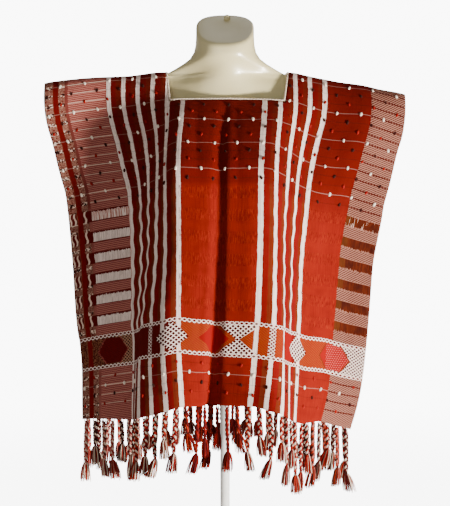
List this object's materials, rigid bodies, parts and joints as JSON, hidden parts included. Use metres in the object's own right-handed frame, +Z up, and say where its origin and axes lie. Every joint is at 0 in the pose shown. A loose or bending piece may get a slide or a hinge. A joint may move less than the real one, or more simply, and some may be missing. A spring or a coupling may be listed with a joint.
{
  "type": "woven square-necked blouse on a dress form",
  "caption": "A hand-woven, square-necked blouse in red and orange stripes with plaited fringes, worn by a cream limbless dress form on a pole stand.",
  "frame": {"origin": "middle of the stand base's underside, on the floor", "axes": "+Z up the pole to the neck, -Y out of the blouse's front, +X to the viewer's right of the front"},
  "size_m": [0.6949, 0.31, 1.018],
  "materials": {
    "striped_cloth": "matte hand-woven cotton",
    "cream_cord": "matte cotton cord",
    "plaited_yarn": "matte plaited cotton",
    "cream_form": "soft gloss moulded shell",
    "pale_stand": "satin paint"
  },
  "bodies": {
    "root": {"blouse_front": "striped_cloth", "blouse_back": "striped_cloth", "neck_binding": "cream_cord", "fringe_front": "plaited_yarn", "fringe_back": "plaited_yarn", "dress_form": "cream_form", "stand_pole": "pale_stand", "stand_base": "pale_stand"}
  },
  "joints": []
}
